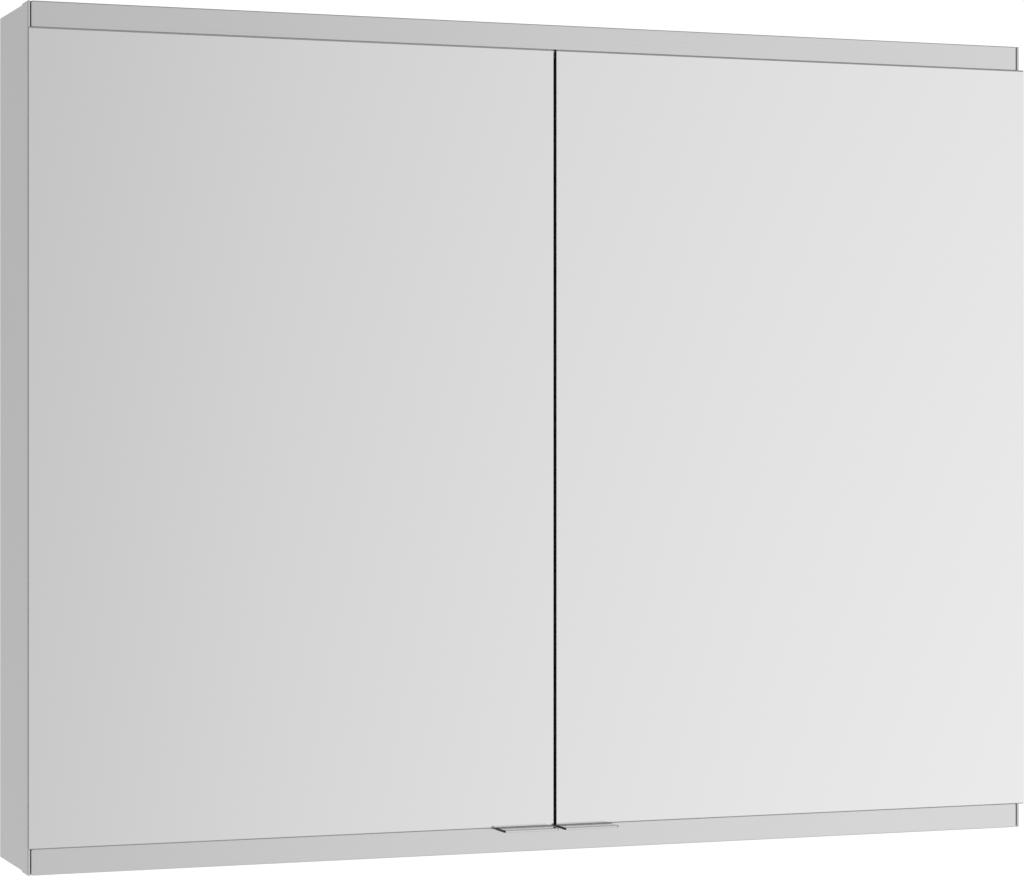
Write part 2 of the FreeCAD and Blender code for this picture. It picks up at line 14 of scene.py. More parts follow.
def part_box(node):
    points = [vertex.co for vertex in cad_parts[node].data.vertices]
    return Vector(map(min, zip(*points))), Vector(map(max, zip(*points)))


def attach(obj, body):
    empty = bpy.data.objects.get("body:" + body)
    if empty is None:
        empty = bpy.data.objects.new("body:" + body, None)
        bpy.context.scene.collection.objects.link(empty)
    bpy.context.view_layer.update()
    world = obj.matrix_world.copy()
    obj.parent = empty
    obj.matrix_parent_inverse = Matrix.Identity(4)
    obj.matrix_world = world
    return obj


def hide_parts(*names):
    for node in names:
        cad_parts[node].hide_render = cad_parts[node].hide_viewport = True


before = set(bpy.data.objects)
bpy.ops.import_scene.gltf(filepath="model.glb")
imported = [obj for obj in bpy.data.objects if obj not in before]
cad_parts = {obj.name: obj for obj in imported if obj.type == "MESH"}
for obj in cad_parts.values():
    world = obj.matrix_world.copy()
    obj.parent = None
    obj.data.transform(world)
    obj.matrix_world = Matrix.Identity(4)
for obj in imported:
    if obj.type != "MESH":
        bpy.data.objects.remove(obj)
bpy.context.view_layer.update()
MM = 0.001
X, Y, Z = Vector((1, 0, 0)), Vector((0, 1, 0)), Vector((0, 0, 1))

# ---------------------------------------------------------------------------
# Side panels. Boards faced with anodised aluminium, sawn square, their edges broken by hand, and
# drilled on the inside for the shelf pins. The drawn metal runs up the board.
BOARD_EDGE_MM = 0.5
SILVER = "E7E7E7"


def linear(code):
    """A colour written as sRGB hex, turned to the linear values that shaders take."""
    parts = [int(code[place:place + 2], 16) / 255 for place in (0, 2, 4)]
    levels = [part / 12.92 if part <= 0.04045 else ((part + 0.055) / 1.055) ** 2.4 for part in parts]
    return (*levels, 1.0)


def add(tree, kind, settings=None, **links):
    """Add a node, set its properties and sockets, and link inputs given by name or as i0, i1, ..."""
    node = tree.nodes.new(kind)
    for name, value in (settings or {}).items():
        if isinstance(name, str) and hasattr(node, name):
            setattr(node, name, value)
        else:
            node.inputs[name].default_value = value
    for name, source in links.items():
        place = int(name[1:]) if name[1:].isdigit() else name.replace("_", " ")
        tree.links.new(source, node.inputs[place])
    return node


def new_finish(name):
    """An empty material, ready for its nodes."""
    finish = bpy.data.materials.new(name)
    finish.use_nodes = True
    finish.node_tree.nodes.clear()
    return finish, finish.node_tree


def drawn_aluminium(name, along):
    """Anodised aluminium: an etched satin that blurs what it reflects, with draw lines along one
    axis. Real draw lines are about 0.05 mm apart; they are drawn at 0.4 mm so that they show."""
    finish, tree = new_finish(name)
    coordinates = add(tree, "ShaderNodeTexCoord")
    across = 1 / (0.4 * MM)
    stretch = [across * 0.002 if axis == along else across for axis in "xyz"]
    mapping = add(tree, "ShaderNodeMapping", {"Scale": stretch}, Vector=coordinates.outputs["Object"])
    lines = add(tree, "ShaderNodeTexNoise", {"Scale": 1.0, "Detail": 2.0}, Vector=mapping.outputs[0])
    cloud = add(tree, "ShaderNodeTexNoise", {"Scale": 6.0, "Detail": 3.0},
                Vector=coordinates.outputs["Object"])
    roughness = add(tree, "ShaderNodeMapRange", {"From Min": 0.3, "From Max": 0.7, "To Min": 0.18,
                                                 "To Max": 0.22}, Value=cloud.outputs["Fac"])
    tone = add(tree, "ShaderNodeMapRange", {"From Min": 0.3, "From Max": 0.7, "To Min": 0.975,
                                            "To Max": 1.01}, Value=lines.outputs["Fac"])
    colour = add(tree, "ShaderNodeMix", {"data_type": "RGBA", "blend_type": "MULTIPLY", 0: 1.0,
                                         6: linear(SILVER)}, i7=tone.outputs[0])
    bump = add(tree, "ShaderNodeBump", {"Strength": 0.05, "Distance": 0.002 * MM},
               Height=lines.outputs["Fac"])
    shader = add(tree, "ShaderNodeBsdfPrincipled", {"Metallic": 1.0}, Base_Color=colour.outputs[2],
                 Roughness=roughness.outputs[0], Normal=bump.outputs[0])
    add(tree, "ShaderNodeOutputMaterial", Surface=shader.outputs[0])
    return finish


upright_aluminium = drawn_aluminium("anodised_aluminium_upright", "z")
level_aluminium = drawn_aluminium("anodised_aluminium_level", "x")


def as_piece(name, work, finishes, body, replaces=()):
    """Turn finished bmesh work into an object, hang it on its body's empty and hide the parts it replaces."""
    mesh = bpy.data.meshes.new(name)
    work.to_mesh(mesh)
    work.free()
    for finish in finishes:
        mesh.materials.append(finish)
    mesh.shade_smooth()
    mesh.set_sharp_from_angle(angle=math.radians(50))
    piece = bpy.data.objects.new(name, mesh)
    bpy.context.collection.objects.link(piece)
    even = piece.modifiers.new("flat_faces_stay_flat", "WEIGHTED_NORMAL")
    even.weight = 100
    even.keep_sharp = True
    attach(piece, body)
    if replaces:
        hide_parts(*replaces)
    return piece


def round_edges(work, edges, edge_mm, segments=2, material=-1):
    """Round these edges. The new faces take their neighbours' finish, unless one is given."""
    bmesh.ops.bevel(work, geom=edges, offset=edge_mm * MM, offset_type="OFFSET", segments=segments,
                    profile=0.5, affect="EDGES", clamp_overlap=True, material=material)


def ease(work, edge_mm, segments=2):
    """Round every corner of the work that is sharper than 40 degrees."""
    sharp = [edge for edge in work.edges if edge.is_manifold and edge.calc_face_angle() > math.radians(40)]
    round_edges(work, sharp, edge_mm, segments)


def welded(node):
    """The node's own shape as one welded skin of flat faces."""
    work = bmesh.new()
    work.from_mesh(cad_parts[node].data)
    bmesh.ops.remove_doubles(work, verts=work.verts, dist=1e-6)
    bmesh.ops.dissolve_limit(work, angle_limit=math.radians(1), verts=work.verts, edges=work.edges)
    for face in work.faces:
        face.material_index = 0
    return work


def eased(node, name, edge_mm, finish, body):
    """A part of the node's own shape, with its corners eased as a file or a die leaves them."""
    work = welded(node)
    ease(work, edge_mm)
    return as_piece(name, work, [finish], body, [node])


for side in ("left", "right"):
    eased(f"side_panel_{side}", f"side_board_{side}", BOARD_EDGE_MM, upright_aluminium,
          "cabinet")

# ---------------------------------------------------------------------------
# Top and bottom panels. The same aluminium-faced board, set between the sides, with the drawn lines
# running along it.
for end in ("top", "bottom"):
    eased(f"{end}_panel", f"{end}_board", BOARD_EDGE_MM, level_aluminium, "cabinet")

# ---------------------------------------------------------------------------
# Centre divider. The same board again, notched round the front rails, its shelf-pin holes drilled
# right through for both bays.
eased("centre_divider", "divider_board", BOARD_EDGE_MM, upright_aluminium, "cabinet")

# ---------------------------------------------------------------------------
# Back panel. Thin board with a white melamine face, pressed against a fine-grained plate, which
# leaves a low, even orange peel and a soft sheen.
MELAMINE = "ECECEA"
BACK_EDGE_MM = 0.3


def melamine(name):
    """White melamine: a soft sheen over the orange peel that the press plate leaves."""
    finish, tree = new_finish(name)
    coordinates = add(tree, "ShaderNodeTexCoord")
    peel = add(tree, "ShaderNodeTexNoise", {"Scale": 1 / (1.2 * MM), "Detail": 2.0},
               Vector=coordinates.outputs["Object"])
    roughness = add(tree, "ShaderNodeMapRange", {"To Min": 0.36, "To Max": 0.46}, Value=peel.outputs["Fac"])
    bump = add(tree, "ShaderNodeBump", {"Strength": 0.15, "Distance": 0.03 * MM}, Height=peel.outputs["Fac"])
    shader = add(tree, "ShaderNodeBsdfPrincipled", {"Base Color": linear(MELAMINE), "IOR": 1.5},
                 Roughness=roughness.outputs[0], Normal=bump.outputs[0])
    add(tree, "ShaderNodeOutputMaterial", Surface=shader.outputs[0])
    return finish


white_melamine = melamine("white_melamine")
eased("back_panel", "back_board", BACK_EDGE_MM, white_melamine, "cabinet")

# ---------------------------------------------------------------------------
# Hanging rails. Flat aluminium bars behind the back panel, drilled for the wall screws, their
# sawn edges well broken.
WALL_BAR_EDGE_MM = 0.6
for end in ("upper", "lower"):
    eased(f"{end}_hanging_rail", f"{end}_wall_bar", WALL_BAR_EDGE_MM, level_aluminium,
          "cabinet")

# ---------------------------------------------------------------------------
# Corner brackets. Stamped from sheet steel and nickel plated: bright, slightly warm, with the soft
# unevenness of a tumbled part.
NICKEL = "CFCBC4"
BRACKET_EDGE_MM = 0.3


def nickel_plate(name, roughness):
    """Nickel plating on steel, with a roughness that wanders a little either side of its middle."""
    finish, tree = new_finish(name)
    coordinates = add(tree, "ShaderNodeTexCoord")
    tumbled = add(tree, "ShaderNodeTexNoise", {"Scale": 1 / (2.5 * MM), "Detail": 3.0},
                  Vector=coordinates.outputs["Object"])
    dull = add(tree, "ShaderNodeMapRange", {"To Min": roughness - 0.05, "To Max": roughness + 0.05},
               Value=tumbled.outputs["Fac"])
    bump = add(tree, "ShaderNodeBump", {"Strength": 0.1, "Distance": 0.02 * MM},
               Height=tumbled.outputs["Fac"])
    shader = add(tree, "ShaderNodeBsdfPrincipled", {"Metallic": 1.0, "Base Color": linear(NICKEL)},
                 Roughness=dull.outputs[0], Normal=bump.outputs[0])
    add(tree, "ShaderNodeOutputMaterial", Surface=shader.outputs[0])
    return finish


nickel = nickel_plate("nickel_plated_steel", 0.24)
eased("corner_brackets", "corner_angles", BRACKET_EDGE_MM, nickel, "cabinet")

# ---------------------------------------------------------------------------
# Screws. Pan heads with a cross recess, just under four millimetres across the shank. Each one stands
# where the frame has its plain solid: heads inside the corners, and on the hinge bases.
RECESS_LONG_MM, RECESS_WIDE_MM, RECESS_DEEP_MM = 3.0, 0.7, 0.9
HEAD_MM, HEAD_RADIUS_MM, HEAD_ROUND_MM = 1.4, 2.7, 1.2
SHANK_MM, SHANK_RADIUS_MM, TIP_MM = 9.0, 1.9, 1.0


def turned(profile, steps=32):
    """A solid turned from a profile of (radius, height) pairs in millimetres, about the Z axis."""
    work = bmesh.new()
    points = [work.verts.new((radius * MM, 0, height * MM)) for radius, height in profile]
    edges = [work.edges.new(pair) for pair in zip(points, points[1:])]
    bmesh.ops.spin(work, geom=points + edges, cent=(0, 0, 0), axis=(0, 0, 1), angle=math.tau, steps=steps,
                   use_merge=True)
    bmesh.ops.remove_doubles(work, verts=work.verts, dist=1e-6)
    bmesh.ops.recalc_face_normals(work, faces=work.faces)
    return work


def arc(centre, radius, start, end, steps):
    """Points of a profile round an arc, angles in degrees from the outward radius."""
    turns = [math.radians(start + (end - start) * step / steps) for step in range(steps + 1)]
    return [(centre[0] + radius * math.cos(turn), centre[1] + radius * math.sin(turn)) for turn in turns]


def islands(node):
    """The lowest and highest corner of each separate solid in a node."""
    work = bmesh.new()
    work.from_mesh(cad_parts[node].data)
    bmesh.ops.remove_doubles(work, verts=work.verts, dist=1e-6)
    waiting = set(work.verts)
    boxes = []
    while waiting:
        front = [waiting.pop()]
        found = list(front)
        while front:
            vertex = front.pop()
            near = {edge.other_vert(vertex) for edge in vertex.link_edges} & waiting
            waiting -= near
            front.extend(near)
            found.extend(near)
        low = Vector(min(vertex.co[axis] for vertex in found) for axis in range(3))
        high = Vector(max(vertex.co[axis] for vertex in found) for axis in range(3))
        boxes.append((low, high))
    work.free()
    return sorted(boxes, key=lambda box: tuple(round(value, 6) for value in box[0]))


def repeated(part, places):
    """One bmesh holding a copy of a part at each place, a point and the direction of its Z axis."""
    pattern = bpy.data.meshes.new("pattern")
    part.to_mesh(pattern)
    part.free()
    whole = bmesh.new()
    for point, direction in places:
        start = len(whole.verts)
        whole.from_mesh(pattern)
        whole.verts.ensure_lookup_table()
        turn = direction.to_track_quat("Z", "Y").to_matrix().to_4x4()
        bmesh.ops.transform(whole, matrix=Matrix.Translation(point) @ turn, verts=whole.verts[start:])
    bpy.data.meshes.remove(pattern)
    return whole


def less(part, cutter):
    """Cut one bmesh out of another and return what is left."""
    pair = []
    for name, work in (("stock", part), ("cutter", cutter)):
        mesh = bpy.data.meshes.new(name)
        work.to_mesh(mesh)
        work.free()
        item = bpy.data.objects.new(name, mesh)
        bpy.context.collection.objects.link(item)
        pair.append(item)
    boolean = pair[0].modifiers.new("recess", "BOOLEAN")
    boolean.object = pair[1]
    boolean.solver = "EXACT"
    bpy.context.view_layer.update()
    left = bmesh.new()
    left.from_object(pair[0], bpy.context.evaluated_depsgraph_get())
    for item in pair:
        mesh = item.data
        bpy.data.objects.remove(item)
        bpy.data.meshes.remove(mesh)
    return left


def cross_bar():
    """The cutter of a cross recess: one bar of plus-shaped section, standing in the top of the head."""
    far, near, foot = RECESS_LONG_MM / 2 * MM, RECESS_WIDE_MM / 2 * MM, (HEAD_MM - RECESS_DEEP_MM) * MM
    corners = [Vector(corner) for corner in ((far, -near, foot), (far, near, foot), (near, near, foot))]
    outline = [Matrix.Rotation(math.radians(90 * quarter), 4, "Z") @ corner
               for quarter in range(4) for corner in corners]
    work = bmesh.new()
    section = work.faces.new([work.verts.new(point) for point in outline])
    grown = bmesh.ops.extrude_face_region(work, geom=[section])
    raised = [item for item in grown["geom"] if isinstance(item, bmesh.types.BMVert)]
    bmesh.ops.translate(work, vec=Z * 2 * RECESS_DEEP_MM * MM, verts=raised)
    bmesh.ops.recalc_face_normals(work, faces=work.faces)
    return work


def pan_screw():
    """A screw with its seat at the origin, its head up and its shank down."""
    dome = arc((HEAD_RADIUS_MM - HEAD_ROUND_MM, HEAD_MM - HEAD_ROUND_MM), HEAD_ROUND_MM, 90, 10, 5)
    shank = [(SHANK_RADIUS_MM, 0), (SHANK_RADIUS_MM, TIP_MM - SHANK_MM),
             (SHANK_RADIUS_MM - TIP_MM, -SHANK_MM), (0, -SHANK_MM)]
    return less(turned([(0, HEAD_MM), *dome, (HEAD_RADIUS_MM, 0), *shank]), cross_bar())


def screw_places(node, outward=None):
    """Seat and head direction of each screw; without a direction, heads face the cabinet's middle."""
    places = []
    for low, high in islands(node):
        size = high - low
        axis = max(range(3), key=lambda index: size[index])
        inward = [-math.copysign(1, low[axis]) if index == axis else 0 for index in range(3)]
        direction = outward or Vector(inward)
        head = high[axis] if direction[axis] > 0 else low[axis]
        seat = (low + high) / 2
        seat[axis] = head - direction[axis] * HEAD_MM * MM
        places.append((seat, direction))
    return places


as_piece("corner_screws", repeated(pan_screw(), screw_places("bracket_screws")), [nickel],
         "cabinet", ["bracket_screws"])
as_piece("base_screws", repeated(pan_screw(), screw_places("hinge_screws", -Y)), [nickel],
         "cabinet", ["hinge_screws"])

# ---------------------------------------------------------------------------
# Front rails, trims and fascias. Drawn aluminium sections: the rail is a channel, the trim laps
# over the side panel, and the fascia is the flat strip with softly rounded ends beside the doors.
CHANNEL_EDGE_MM, TRIM_EDGE_MM, FASCIA_CORNER_MM, FASCIA_EDGE_MM = 0.3, 0.7, 1.8, 0.9


def block(low, high):
    """A plain box between two corners."""
    work = bmesh.new()
    bmesh.ops.create_cube(work, size=1.0, matrix=Matrix.Translation((low + high) / 2)
                          @ Matrix.Diagonal((*(high - low), 1)))
    return work


for end in ("top", "bottom"):
    eased(f"{end}_front_rail", f"{end}_channel", CHANNEL_EDGE_MM, level_aluminium,
          "cabinet")
for side in ("left", "right"):
    eased(f"front_trim_{side}", f"edge_trim_{side}", TRIM_EDGE_MM, upright_aluminium,
          "cabinet")
for end in ("top", "bottom"):
    low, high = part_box(f"{end}_fascia")
    work = block(low, high)
    deep = [edge for edge in work.edges if abs((edge.verts[1].co - edge.verts[0].co).normalized().y) > 0.9]
    round_edges(work, deep, FASCIA_CORNER_MM, segments=6)
    rim = [edge for edge in work.edges if all(abs(vert.co.y - low.y) < 1e-6 for vert in edge.verts)]
    round_edges(work, rim, FASCIA_EDGE_MM, segments=4)
    as_piece(f"{end}_strip", work, [level_aluminium], "cabinet", [f"{end}_fascia"])

# ---------------------------------------------------------------------------
# End caps. Moulded ABS plugs in the open ends of the channel behind each trim, grey like the metal
# beside them, with the fine matt grain of a spark-eroded mould. Such grain is about 0.3 mm across.
CAP_GREY = "A9AAAB"
CAP_EDGE_MM, CAP_GRAIN_MM = 0.4, 0.3


def grained_plastic(name, colour, grain_mm):
    """Moulded plastic with the even matt grain of its mould."""
    finish, tree = new_finish(name)
    coordinates = add(tree, "ShaderNodeTexCoord")
    grain = add(tree, "ShaderNodeTexNoise", {"Scale": 1 / (grain_mm * MM), "Detail": 2.0},
                Vector=coordinates.outputs["Object"])
    roughness = add(tree, "ShaderNodeMapRange", {"To Min": 0.5, "To Max": 0.62}, Value=grain.outputs["Fac"])
    bump = add(tree, "ShaderNodeBump", {"Strength": 0.3, "Distance": 0.03 * MM}, Height=grain.outputs["Fac"])
    shader = add(tree, "ShaderNodeBsdfPrincipled", {"Base Color": linear(colour), "IOR": 1.53},
                 Roughness=roughness.outputs[0], Normal=bump.outputs[0])
    add(tree, "ShaderNodeOutputMaterial", Surface=shader.outputs[0])
    return finish


grey_abs = grained_plastic("grained_grey_abs", CAP_GREY, CAP_GRAIN_MM)
eased("end_caps", "channel_plugs", CAP_EDGE_MM, grey_abs, "cabinet")

# ---------------------------------------------------------------------------
# Shelf pins. Turned steel pegs, nickel plated, with a thin collar that stops against the panel and a
# rounded nose.
PIN_MM, IN_PANEL_MM, OUT_MM, PIN_LEAD_MM, NOSE_MM = 2.45, 5.0, 9.0, 0.4, 1.0
COLLAR_MM, COLLAR_THICK_MM, COLLAR_LEAD_MM = 4.0, 0.8, 0.3
pin_profile = [
    (0, -IN_PANEL_MM), (PIN_MM - PIN_LEAD_MM, -IN_PANEL_MM), (PIN_MM, PIN_LEAD_MM - IN_PANEL_MM),
    (PIN_MM, 0), (COLLAR_MM, 0), (COLLAR_MM, COLLAR_THICK_MM - COLLAR_LEAD_MM),
    (COLLAR_MM - COLLAR_LEAD_MM, COLLAR_THICK_MM), (PIN_MM, COLLAR_THICK_MM),
    *arc((PIN_MM - NOSE_MM, OUT_MM - NOSE_MM), NOSE_MM, 0, 90, 5), (0, OUT_MM)]
for side in ("left", "right"):
    places = []
    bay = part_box(f"upper_shelf_{side}")
    middle = (bay[0].x + bay[1].x) / 2
    for low, high in islands(f"shelf_pins_{side}"):
        centre = (low + high) / 2
        inward = math.copysign(1, middle - centre.x)
        root = low.x if inward > 0 else high.x
        places.append((Vector((root + inward * IN_PANEL_MM * MM, centre.y, centre.z)), X * inward))
    as_piece(f"shelf_pegs_{side}", repeated(turned(pin_profile), places), [nickel],
             "cabinet", [f"shelf_pins_{side}"])

# ---------------------------------------------------------------------------
# Shelves. Five-millimetre float glass with ground and polished edges. Looked through, it is nearly
# colourless; along its edges the iron in it shows green.
CLEAR, EDGE_GREEN = "F7FBF9", "9CC9B8"
SHELF_EDGE_MM, SHELF_EDGE_CLEAR = 0.5, 0.6


def glass_face(name):
    """The fire-polished face of float glass, with the faint film of a wiped surface."""
    finish, tree = new_finish(name)
    coordinates = add(tree, "ShaderNodeTexCoord")
    film = add(tree, "ShaderNodeTexNoise", {"Scale": 14.0, "Detail": 3.0},
               Vector=coordinates.outputs["Object"])
    roughness = add(tree, "ShaderNodeMapRange", {"From Min": 0.4, "To Min": 0.0, "To Max": 0.03},
                    Value=film.outputs["Fac"])
    shader = add(tree, "ShaderNodeBsdfPrincipled", {"Base Color": linear(CLEAR), "IOR": 1.52,
                                                    "Transmission Weight": 1.0},
                 Roughness=roughness.outputs[0])
    add(tree, "ShaderNodeOutputMaterial", Surface=shader.outputs[0])
    return finish


def polished_edge(name, colour, transmission):
    """The polished edge of float glass: fine grinding lines across it, and the green of its depth."""
    finish, tree = new_finish(name)
    coordinates = add(tree, "ShaderNodeTexCoord")
    ground = add(tree, "ShaderNodeTexNoise", {"Scale": 1 / (0.6 * MM), "Detail": 1.0},
                 Vector=coordinates.outputs["Object"])
    roughness = add(tree, "ShaderNodeMapRange", {"To Min": 0.06, "To Max": 0.2}, Value=ground.outputs["Fac"])
    shader = add(tree, "ShaderNodeBsdfPrincipled", {"Base Color": linear(colour), "IOR": 1.52,
                                                    "Transmission Weight": transmission},
                 Roughness=roughness.outputs[0])
    add(tree, "ShaderNodeOutputMaterial", Surface=shader.outputs[0])
    return finish


def pane(low, high, thin, edge_mm):
    """A glass pane with polished, rounded edges: its two faces have finish 0, its edges finish 1."""
    work = block(low, high)
    for face in work.faces:
        face.material_index = 0 if abs(face.normal[thin]) > 0.9 else 1
    round_edges(work, work.edges[:], edge_mm, material=1)
    return work


clear_glass = glass_face("clear_float_glass")
green_edge = polished_edge("polished_glass_edge", EDGE_GREEN, SHELF_EDGE_CLEAR)
for level in ("upper", "lower"):
    for side in ("left", "right"):
        node = f"{level}_shelf_{side}"
        as_piece(f"{level}_glass_{side}", pane(*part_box(node), thin=2, edge_mm=SHELF_EDGE_MM),
                 [clear_glass, green_edge], "cabinet", [node])

# ---------------------------------------------------------------------------
# Hinges. The base is stamped and its knuckles rolled; the pin is turned with a domed head; the
# gooseneck leaf is bent from strip, and its foot is bonded to the back of the door.
HINGE_BASE_EDGE_MM, LEAF_EDGE_MM = 0.25, 0.3
PIVOT_MM, PIVOT_LEAD_MM, PIVOT_HEAD_MM, PIVOT_HEAD_THICK_MM, PIVOT_ROUND_MM = 1.2, 0.3, 2.1, 1.4, 1.1
eased("hinge_bases", "hinge_leaves", HINGE_BASE_EDGE_MM, nickel, "cabinet")
pins = islands("hinge_pins")
pin_length_mm = (pins[0][1].z - pins[0][0].z) / MM
bottom_mm = PIVOT_HEAD_THICK_MM - pin_length_mm
pivot_profile = [
    (0, bottom_mm), (PIVOT_MM - PIVOT_LEAD_MM, bottom_mm), (PIVOT_MM, bottom_mm + PIVOT_LEAD_MM),
    (PIVOT_MM, 0), (PIVOT_HEAD_MM, 0),
    *arc((PIVOT_HEAD_MM - PIVOT_ROUND_MM, PIVOT_HEAD_THICK_MM - PIVOT_ROUND_MM), PIVOT_ROUND_MM, 0, 90, 5),
    (0, PIVOT_HEAD_THICK_MM)]
pin_places = []
for low, high in pins:
    centre = (low + high) / 2
    pin_places.append((Vector((centre.x, centre.y, high.z - PIVOT_HEAD_THICK_MM * MM)), Z))
as_piece("hinge_pivots", repeated(turned(pivot_profile), pin_places), [nickel],
         "cabinet", ["hinge_pins"])
for side in ("left", "right"):
    eased(f"hinge_goosenecks_{side}", f"bent_leaves_{side}", LEAF_EDGE_MM, nickel,
          f"{side}_door")

# ---------------------------------------------------------------------------
# Mirror panes. Thin float glass, silvered on the back, two to a door with their silver sides bonded
# together, so that the door is a mirror outside and inside. A narrow polished facet, which has no
# silver behind it, runs along the top and the foot; its flat grey is partly painted shade for the line
# of shade at the door's top edge and foot. The meeting edges are black, as painted shade for the dark
# seam between the doors.
# The black is painted shade: it stands in for the dark seam between the doors and the shadowed handle ends.
SILVERED, MIRROR_EDGE, SHADE_BLACK = "F6F6F6", "BEC2C0", "0B0B0C"
# The facets' flat grey is partly a real unsilvered band and partly painted shade for the line of shade along
# the door's top edge and foot.
FACET_TOP_MM, FACET_FOOT_MM, FACET_DEEP_MM, PANE_EDGE_MM = 1.3, 0.75, 0.12, 0.35
MIRROR_EDGE_CLEAR = 0.0


def silvered(name):
    """Silver behind float glass: a clean mirror, with the faintest unevenness of a wiped surface."""
    finish, tree = new_finish(name)
    coordinates = add(tree, "ShaderNodeTexCoord")
    wiped = add(tree, "ShaderNodeTexNoise", {"Scale": 5.0, "Detail": 3.0},
                Vector=coordinates.outputs["Object"])
    roughness = add(tree, "ShaderNodeMapRange", {"From Min": 0.35, "To Min": 0.004, "To Max": 0.02},
                    Value=wiped.outputs["Fac"])
    shader = add(tree, "ShaderNodeBsdfPrincipled", {"Metallic": 1.0, "Base Color": linear(SILVERED)},
                 Roughness=roughness.outputs[0])
    add(tree, "ShaderNodeOutputMaterial", Surface=shader.outputs[0])
    return finish


def painted_shade_black(name):
    """Painted shade: a glossy black with uneven roughness, standing in for the dark seam and the shadowed
    handle ends.
    """
    finish, tree = new_finish(name)
    coordinates = add(tree, "ShaderNodeTexCoord")
    uneven_gloss = add(tree, "ShaderNodeTexNoise", {"Scale": 1 / (0.5 * MM)}, Vector=coordinates.outputs["Object"])
    roughness = add(tree, "ShaderNodeMapRange", {"To Min": 0.3, "To Max": 0.5}, Value=uneven_gloss.outputs["Fac"])
    shader = add(tree, "ShaderNodeBsdfPrincipled", {"Base Color": linear(SHADE_BLACK), "IOR": 1.5},
                 Roughness=roughness.outputs[0])
    add(tree, "ShaderNodeOutputMaterial", Surface=shader.outputs[0])
    return finish


def mirror_pane(low, high, outward, meeting):
    """A pane with facets on the face that looks outward, and black painted shade on the edge that meets."""
    work = pane(low, high, thin=1, edge_mm=PANE_EDGE_MM)
    outer = [item for item in work.faces if item.normal.y * outward > 0.9]
    face = max(outer, key=lambda item: item.calc_area())
    for level, facing in ((high.z - FACET_TOP_MM * MM, Z), (low.z + FACET_FOOT_MM * MM, -Z)):
        split = bmesh.ops.bisect_plane(work, geom=[face, *face.edges, *face.verts], dist=1e-7,
                                       plane_co=Z * level, plane_no=facing)["geom"]
        halves = {item for item in split if isinstance(item, bmesh.types.BMFace)}
        facet = max(halves, key=lambda item: item.calc_center_median().dot(facing))
        # The facet takes the grey edge finish: partly painted shade at the door's top edge and foot.
        facet.material_index = 1
        for vert in facet.verts:
            if (vert.co.z - level) * facing.z > 1e-5:
                vert.co.y -= outward * FACET_DEEP_MM * MM
        face = max(halves, key=lambda item: item.calc_area())
    # The meeting edge takes the black: painted shade for the seam between the doors.
    for item in work.faces:
        if item.normal.x * meeting > 0.5:
            item.material_index = 2
    return work


mirror = silvered("silvered_float_glass")
mirror_edge = polished_edge("polished_mirror_edge", MIRROR_EDGE, MIRROR_EDGE_CLEAR)
painted_shade_ends = painted_shade_black("painted_shade_black")
for side, meeting in (("left", 1), ("right", -1)):
    for layer, outward in (("front", -1), ("rear", 1)):
        node = f"{layer}_mirror_{side}"
        as_piece(f"{layer}_pane_{side}", mirror_pane(*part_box(node), outward, meeting),
                 [mirror, mirror_edge, painted_shade_ends], f"{side}_door", [node])

# ---------------------------------------------------------------------------
# Handles. A flat aluminium strip bent to an angle: the lip stands out under the door, and the leg is
# bonded behind it. The sawn ends are black, as painted shade for the shadow on their faces. A fine
# bead of clear adhesive, cured in the joint between the lip and the foot of the pane, closes the groove
# in front.
LIP_EDGE_MM, BEAD_MM = 0.6, 0.4
CURED = "EFEFED"


def cured_adhesive(name):
    """Clear adhesive that has set: smooth and milky, with a faint ripple."""
    finish, tree = new_finish(name)
    coordinates = add(tree, "ShaderNodeTexCoord")
    ripple = add(tree, "ShaderNodeTexNoise", {"Scale": 1 / (2.0 * MM)}, Vector=coordinates.outputs["Object"])
    roughness = add(tree, "ShaderNodeMapRange", {"To Min": 0.2, "To Max": 0.35}, Value=ripple.outputs["Fac"])
    shader = add(tree, "ShaderNodeBsdfPrincipled", {"Base Color": linear(CURED), "IOR": 1.5},
                 Roughness=roughness.outputs[0])
    add(tree, "ShaderNodeOutputMaterial", Surface=shader.outputs[0])
    return finish


adhesive = cured_adhesive("cured_clear_adhesive")
for side in ("left", "right"):
    node = f"handle_{side}"
    work = welded(node)
    ease(work, LIP_EDGE_MM, segments=3)
    # The end faces take the black: painted shade for the shadow on them.
    for face in work.faces:
        face.material_index = 1 if abs(face.normal.x) > 0.4 else 0
    as_piece(f"lip_handle_{side}", work, [level_aluminium, painted_shade_ends], f"{side}_door",
             [node])
    lip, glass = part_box(node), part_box(f"front_mirror_{side}")
    middle = Vector(((lip[0].x + lip[1].x) / 2, glass[0].y + BEAD_MM * MM, glass[0].z))
    bead = bmesh.new()
    bmesh.ops.create_cone(bead, cap_ends=True, segments=12, radius1=BEAD_MM * MM, radius2=BEAD_MM * MM,
                          depth=lip[1].x - lip[0].x - 2 * LIP_EDGE_MM * MM,
                          matrix=Matrix.Translation(middle) @ Matrix.Rotation(math.radians(90), 4, "Y"))
    as_piece(f"adhesive_bead_{side}", bead, [adhesive], f"{side}_door")

# ---------------------------------------------------------------------------
# Bumpers. Moulded domes of soft, milky polyurethane, stuck to the rails where the doors close, to
# quieten them.
MILKY = "DCDCD8"
BUMPER_MM, BUMPER_ROUND_MM = 4.0, 2.4


